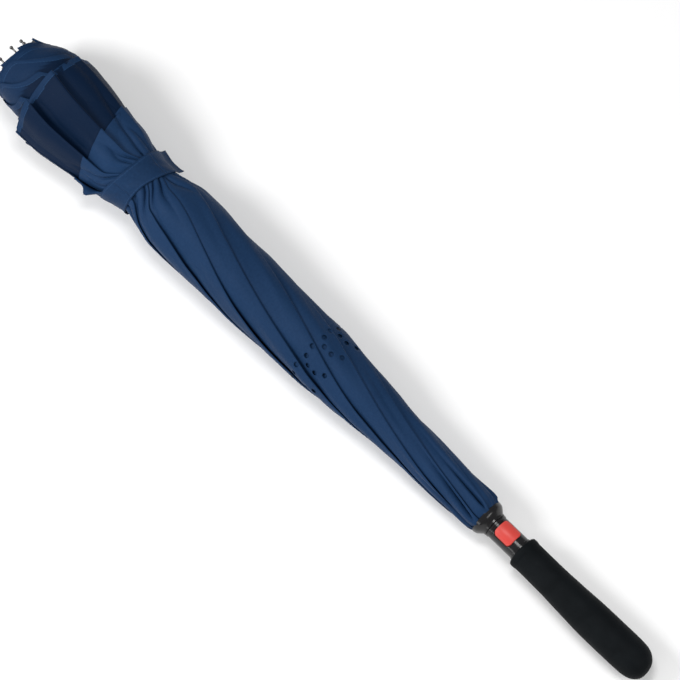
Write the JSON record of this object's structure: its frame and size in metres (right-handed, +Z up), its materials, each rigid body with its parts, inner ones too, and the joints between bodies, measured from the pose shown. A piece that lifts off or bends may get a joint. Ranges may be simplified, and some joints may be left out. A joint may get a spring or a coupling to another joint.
{
  "type": "inverted umbrella",
  "caption": "Reverse-folding umbrella, rolled and tied, lying on its side, with a push-button catch, sliding runner, hinged ribs and a double-layer canopy.",
  "frame": {"origin": "middle of the umbrella's length and width, on the ground that it lies on", "axes": "+X towards the grip, +Z up; the shaft leans up 1.8 degrees towards the rib tips"},
  "size_m": [0.8194, 0.0936, 0.0869],
  "materials": {
    "shaft_tube": "satin black",
    "shaft_plug": "matte",
    "main_spring": "bright",
    "grip": "soft-touch matte",
    "button_housing": "glossy",
    "button_spring": "bright",
    "top_notch": "matte",
    "top_cap": "matte",
    "push_button": "satin",
    "catch_plate": "bright",
    "runner_hub": "matte",
    "runner_collar": "glossy",
    "rib_wire": "bright",
    "drive_pin": "bright",
    "spring_plunger": "matte",
    "rib": "black painted steel",
    "rib_tip": "nickel plated",
    "stretcher": "black painted steel",
    "canopy_cloth": "woven polyester",
    "strap_cloth": "woven polyester"
  },
  "bodies": {
    "shaft": {"shaft_tube": "shaft_tube", "shaft_plug": "shaft_plug", "main_spring": "main_spring", "grip": "grip", "button_housing": "button_housing", "button_spring": "button_spring", "top_notch": "top_notch", "top_cap": "top_cap"},
    "button": {"push_button": "push_button", "catch_plate": "catch_plate"},
    "runner": {"runner_hub": "runner_hub", "runner_collar": "runner_collar", "rib_wire": "rib_wire", "drive_pin": "drive_pin", "spring_plunger": "spring_plunger"},
    "rib_1": {"rib_1": "rib", "rib_tip_1": "rib_tip"},
    "stretcher_1": {"stretcher_1": "stretcher"},
    "gore_1": {"gore_1": "canopy_cloth"},
    "crown_1": {"crown_gore_1": "canopy_cloth"},
    "rib_2": {"rib_2": "rib", "rib_tip_2": "rib_tip"},
    "stretcher_2": {"stretcher_2": "stretcher"},
    "gore_2": {"gore_2": "canopy_cloth"},
    "crown_2": {"crown_gore_2": "canopy_cloth"},
    "rib_3": {"rib_3": "rib", "rib_tip_3": "rib_tip"},
    "stretcher_3": {"stretcher_3": "stretcher"},
    "gore_3": {"gore_3": "canopy_cloth"},
    "crown_3": {"crown_gore_3": "canopy_cloth"},
    "rib_4": {"rib_4": "rib", "rib_tip_4": "rib_tip"},
    "stretcher_4": {"stretcher_4": "stretcher"},
    "gore_4": {"gore_4": "canopy_cloth"},
    "crown_4": {"crown_gore_4": "canopy_cloth"},
    "rib_5": {"rib_5": "rib", "rib_tip_5": "rib_tip"},
    "stretcher_5": {"stretcher_5": "stretcher"},
    "gore_5": {"gore_5": "canopy_cloth"},
    "crown_5": {"crown_gore_5": "canopy_cloth"},
    "rib_6": {"rib_6": "rib", "rib_tip_6": "rib_tip"},
    "stretcher_6": {"stretcher_6": "stretcher"},
    "gore_6": {"gore_6": "canopy_cloth"},
    "crown_6": {"crown_gore_6": "canopy_cloth"},
    "rib_7": {"rib_7": "rib", "rib_tip_7": "rib_tip"},
    "stretcher_7": {"stretcher_7": "stretcher"},
    "gore_7": {"gore_7": "canopy_cloth"},
    "crown_7": {"crown_gore_7": "canopy_cloth"},
    "rib_8": {"rib_8": "rib", "rib_tip_8": "rib_tip"},
    "stretcher_8": {"stretcher_8": "stretcher"},
    "gore_8": {"gore_8": "canopy_cloth"},
    "crown_8": {"crown_gore_8": "canopy_cloth"},
    "strap_1": {"strap_1": "strap_cloth"},
    "strap_2": {"strap_2": "strap_cloth"},
    "strap_3": {"strap_3": "strap_cloth"},
    "strap_4": {"strap_4": "strap_cloth"}
  },
  "joints": [
    {"name": "runner_slide", "type": "slide", "parent": "shaft", "child": "runner", "axis": [-0.9995, 0, 0.0317], "range_m": [0, 0.41704], "deforming": ["main_spring"]},
    {"name": "button_press", "type": "slide", "parent": "shaft", "child": "button", "axis": [-0.0316, -0.0349, -0.9989], "range_m": [0, 0.0015], "stiffness_N_per_m": 1500, "springref_m": -0.001, "deforming": ["button_spring"]},
    {"name": "rib_pivot_1", "type": "hinge", "parent": "runner", "child": "rib_1", "pos_m": [0.19328, 0.00164, 0.03481], "axis": [-0.0044, 0.9903, -0.1391], "range_deg": [0, 99.34]},
    {"name": "stretcher_pivot_1", "type": "hinge", "parent": "rib_1", "child": "stretcher_1", "pos_m": [-0.04649, 0.00204, 0.04523], "axis": [-0.0044, 0.9903, -0.1391], "range_deg": [-156.95, 0]},
    {"name": "gore_unfold_1", "type": "hinge", "parent": "rib_1", "child": "gore_1", "pos_m": [0.19326, 0.00648, 0.03413], "axis": [0.7174, -0.3435, -0.6061], "range_deg": [0, 67.86], "deforming": ["gore_1"]},
    {"name": "crown_unfold_1", "type": "hinge", "parent": "stretcher_1", "child": "crown_1", "pos_m": [-0.32659, 0.00456, 0.04733], "axis": [0.477, 0.4525, 0.7535], "range_deg": [0, 42.52], "deforming": ["crown_gore_1"]},
    {"name": "rib_pivot_2", "type": "hinge", "parent": "runner", "child": "rib_2", "pos_m": [0.19313, 0.00942, 0.03023], "axis": [-0.0253, 0.6018, -0.7982], "range_deg": [0, 99.34]},
    {"name": "stretcher_pivot_2", "type": "hinge", "parent": "rib_2", "child": "stretcher_2", "pos_m": [-0.04667, 0.0117, 0.03954], "axis": [-0.0253, 0.6018, -0.7982], "range_deg": [-156.95, 0]},
    {"name": "gore_unfold_2", "type": "hinge", "parent": "rib_2", "child": "gore_2", "pos_m": [0.19301, 0.01236, 0.02633], "axis": [0.7305, -0.6552, -0.1927], "range_deg": [0, 67.86], "deforming": ["gore_2"]},
    {"name": "crown_unfold_2", "type": "hinge", "parent": "stretcher_2", "child": "crown_2", "pos_m": [-0.32676, 0.0087, 0.04184], "axis": [0.4598, 0.8632, 0.2088], "range_deg": [0, 42.52], "deforming": ["crown_gore_2"]},
    {"name": "rib_pivot_3", "type": "hinge", "parent": "runner", "child": "rib_3", "pos_m": [0.19286, 0.01168, 0.02149], "axis": [-0.0313, -0.1392, -0.9898], "range_deg": [0, 99.34]},
    {"name": "stretcher_pivot_3", "type": "hinge", "parent": "rib_3", "child": "stretcher_3", "pos_m": [-0.04702, 0.01451, 0.02869], "axis": [-0.0313, -0.1392, -0.9898], "range_deg": [-156.95, 0]},
    {"name": "gore_unfold_3", "type": "hinge", "parent": "rib_3", "child": "gore_3", "pos_m": [0.1927, 0.011, 0.01665], "axis": [0.7467, -0.5831, 0.32], "range_deg": [0, 67.86], "deforming": ["gore_3"]},
    {"name": "crown_unfold_3", "type": "hinge", "parent": "stretcher_3", "child": "crown_3", "pos_m": [-0.32697, 0.00774, 0.03503], "axis": [0.4384, 0.7682, -0.4666], "range_deg": [0, 42.52], "deforming": ["crown_gore_3"]},
    {"name": "rib_pivot_4", "type": "hinge", "parent": "runner", "child": "rib_4", "pos_m": [0.19261, 0.0071, 0.01371], "axis": [-0.0191, -0.7986, -0.6015], "range_deg": [0, 99.34]},
    {"name": "stretcher_pivot_4", "type": "hinge", "parent": "rib_4", "child": "stretcher_4", "pos_m": [-0.04732, 0.00882, 0.01903], "axis": [-0.0191, -0.7986, -0.6015], "range_deg": [-156.95, 0]},
    {"name": "gore_unfold_4", "type": "hinge", "parent": "rib_4", "child": "gore_4", "pos_m": [0.19252, 0.0032, 0.01077], "axis": [0.7566, -0.1694, 0.6316], "range_deg": [0, 67.86], "deforming": ["gore_4"]},
    {"name": "crown_unfold_4", "type": "hinge", "parent": "stretcher_4", "child": "crown_4", "pos_m": [-0.3271, 0.00225, 0.0309], "axis": [0.4254, 0.2232, -0.8771], "range_deg": [0, 42.52], "deforming": ["crown_gore_4"]},
    {"name": "rib_pivot_5", "type": "hinge", "parent": "runner", "child": "rib_5", "pos_m": [0.19254, -0.00164, 0.01145], "axis": [0.0044, -0.9903, 0.1391], "range_deg": [0, 99.34]},
    {"name": "stretcher_pivot_5", "type": "hinge", "parent": "rib_5", "child": "stretcher_5", "pos_m": [-0.04741, -0.00204, 0.01623], "axis": [0.0044, -0.9903, 0.1391], "range_deg": [-156.95, 0]},
    {"name": "gore_unfold_5", "type": "hinge", "parent": "rib_5", "child": "gore_5", "pos_m": [0.19256, -0.00648, 0.01213], "axis": [0.7543, 0.3435, 0.5595], "range_deg": [0, 67.86], "deforming": ["gore_5"]},
    {"name": "crown_unfold_5", "type": "hinge", "parent": "stretcher_5", "child": "crown_5", "pos_m": [-0.32708, -0.00456, 0.03185], "axis": [0.4284, -0.4525, -0.7821], "range_deg": [0, 42.52], "deforming": ["crown_gore_5"]},
    {"name": "rib_pivot_6", "type": "hinge", "parent": "runner", "child": "rib_6", "pos_m": [0.19268, -0.00942, 0.01603], "axis": [0.0253, -0.6018, 0.7982], "range_deg": [0, 99.34]},
    {"name": "stretcher_pivot_6", "type": "hinge", "parent": "rib_6", "child": "stretcher_6", "pos_m": [-0.04723, -0.0117, 0.02192], "axis": [0.0253, -0.6018, 0.7982], "range_deg": [-156.95, 0]},
    {"name": "gore_unfold_6", "type": "hinge", "parent": "rib_6", "child": "gore_6", "pos_m": [0.19281, -0.01236, 0.01993], "axis": [0.7412, 0.6552, 0.1461], "range_deg": [0, 67.86], "deforming": ["gore_6"]},
    {"name": "crown_unfold_6", "type": "hinge", "parent": "stretcher_6", "child": "crown_6", "pos_m": [-0.3269, -0.0087, 0.03734], "axis": [0.4456, -0.8632, -0.2375], "range_deg": [0, 42.52], "deforming": ["crown_gore_6"]},
    {"name": "rib_pivot_7", "type": "hinge", "parent": "runner", "child": "rib_7", "pos_m": [0.19296, -0.01168, 0.02477], "axis": [0.0313, 0.1392, 0.9898], "range_deg": [0, 99.34]},
    {"name": "stretcher_pivot_7", "type": "hinge", "parent": "rib_7", "child": "stretcher_7", "pos_m": [-0.04689, -0.01451, 0.03276], "axis": [0.0313, 0.1392, 0.9898], "range_deg": [-156.95, 0]},
    {"name": "gore_unfold_7", "type": "hinge", "parent": "rib_7", "child": "gore_7", "pos_m": [0.19312, -0.011, 0.02961], "axis": [0.725, 0.5831, -0.3666], "range_deg": [0, 67.86], "deforming": ["gore_7"]},
    {"name": "crown_unfold_7", "type": "hinge", "parent": "stretcher_7", "child": "crown_7", "pos_m": [-0.32669, -0.00774, 0.04415], "axis": [0.467, -0.7682, 0.4379], "range_deg": [0, 42.52], "deforming": ["crown_gore_7"]},
    {"name": "rib_pivot_8", "type": "hinge", "parent": "runner", "child": "rib_8", "pos_m": [0.19321, -0.0071, 0.03255], "axis": [0.0191, 0.7986, 0.6015], "range_deg": [0, 99.34]},
    {"name": "stretcher_pivot_8", "type": "hinge", "parent": "rib_8", "child": "stretcher_8", "pos_m": [-0.04658, -0.00882, 0.04242], "axis": [0.0191, 0.7986, 0.6015], "range_deg": [-156.95, 0]},
    {"name": "gore_unfold_8", "type": "hinge", "parent": "rib_8", "child": "gore_8", "pos_m": [0.1933, -0.0032, 0.03549], "axis": [0.7151, 0.1694, -0.6782], "range_deg": [0, 67.86], "deforming": ["gore_8"]},
    {"name": "crown_unfold_8", "type": "hinge", "parent": "stretcher_8", "child": "crown_8", "pos_m": [-0.32655, -0.00225, 0.04828], "axis": [0.48, -0.2232, 0.8484], "range_deg": [0, 42.52], "deforming": ["crown_gore_8"]},
    {"name": "strap_unwind_1", "type": "hinge", "parent": "rib_3", "child": "strap_1", "pos_m": [-0.23044, 0.02614, 0.02263], "axis": [-0.9995, 0, 0.0317], "range_deg": [-39.65, 0], "deforming": ["strap_1"]},
    {"name": "strap_unwind_2", "type": "hinge", "parent": "strap_1", "child": "strap_2", "pos_m": [-0.23091, -0.00891, 0.00784], "axis": [-0.9995, 0, 0.0317], "range_deg": [-77.69, 0], "deforming": ["strap_2"]},
    {"name": "strap_unwind_3", "type": "hinge", "parent": "strap_2", "child": "strap_3", "pos_m": [-0.22989, -0.03031, 0.03997], "axis": [-0.9995, 0, 0.0317], "range_deg": [-77.69, 0], "deforming": ["strap_3"]},
    {"name": "strap_unwind_4", "type": "hinge", "parent": "strap_3", "child": "strap_4", "pos_m": [-0.22902, -0.00229, 0.06738], "axis": [-0.9995, 0, 0.0317], "range_deg": [-77.69, 0], "deforming": ["strap_4"]}
  ],
  "couplings": [
    {"joint": "rib_pivot_1", "follows": "runner_slide", "rad_per_m": 4.1566},
    {"joint": "stretcher_pivot_1", "follows": "runner_slide", "rad_per_m": -6.5676},
    {"joint": "gore_unfold_1", "follows": "runner_slide", "rad_per_m": 2.839},
    {"joint": "crown_unfold_1", "follows": "runner_slide", "rad_per_m": 1.7787},
    {"joint": "rib_pivot_2", "follows": "runner_slide", "rad_per_m": 4.1566},
    {"joint": "stretcher_pivot_2", "follows": "runner_slide", "rad_per_m": -6.5676},
    {"joint": "gore_unfold_2", "follows": "runner_slide", "rad_per_m": 2.839},
    {"joint": "crown_unfold_2", "follows": "runner_slide", "rad_per_m": 1.7787},
    {"joint": "rib_pivot_3", "follows": "runner_slide", "rad_per_m": 4.1566},
    {"joint": "stretcher_pivot_3", "follows": "runner_slide", "rad_per_m": -6.5676},
    {"joint": "gore_unfold_3", "follows": "runner_slide", "rad_per_m": 2.839},
    {"joint": "crown_unfold_3", "follows": "runner_slide", "rad_per_m": 1.7787},
    {"joint": "rib_pivot_4", "follows": "runner_slide", "rad_per_m": 4.1566},
    {"joint": "stretcher_pivot_4", "follows": "runner_slide", "rad_per_m": -6.5676},
    {"joint": "gore_unfold_4", "follows": "runner_slide", "rad_per_m": 2.839},
    {"joint": "crown_unfold_4", "follows": "runner_slide", "rad_per_m": 1.7787},
    {"joint": "rib_pivot_5", "follows": "runner_slide", "rad_per_m": 4.1566},
    {"joint": "stretcher_pivot_5", "follows": "runner_slide", "rad_per_m": -6.5676},
    {"joint": "gore_unfold_5", "follows": "runner_slide", "rad_per_m": 2.839},
    {"joint": "crown_unfold_5", "follows": "runner_slide", "rad_per_m": 1.7787},
    {"joint": "rib_pivot_6", "follows": "runner_slide", "rad_per_m": 4.1566},
    {"joint": "stretcher_pivot_6", "follows": "runner_slide", "rad_per_m": -6.5676},
    {"joint": "gore_unfold_6", "follows": "runner_slide", "rad_per_m": 2.839},
    {"joint": "crown_unfold_6", "follows": "runner_slide", "rad_per_m": 1.7787},
    {"joint": "rib_pivot_7", "follows": "runner_slide", "rad_per_m": 4.1566},
    {"joint": "stretcher_pivot_7", "follows": "runner_slide", "rad_per_m": -6.5676},
    {"joint": "gore_unfold_7", "follows": "runner_slide", "rad_per_m": 2.839},
    {"joint": "crown_unfold_7", "follows": "runner_slide", "rad_per_m": 1.7787},
    {"joint": "rib_pivot_8", "follows": "runner_slide", "rad_per_m": 4.1566},
    {"joint": "stretcher_pivot_8", "follows": "runner_slide", "rad_per_m": -6.5676},
    {"joint": "gore_unfold_8", "follows": "runner_slide", "rad_per_m": 2.839},
    {"joint": "crown_unfold_8", "follows": "runner_slide", "rad_per_m": 1.7787},
    {"joint": "strap_unwind_1", "follows": "runner_slide", "rad_per_m": -1.6583},
    {"joint": "strap_unwind_2", "follows": "runner_slide", "rad_per_m": -3.2503},
    {"joint": "strap_unwind_3", "follows": "runner_slide", "rad_per_m": -3.2503},
    {"joint": "strap_unwind_4", "follows": "runner_slide", "rad_per_m": -3.2503}
  ]
}
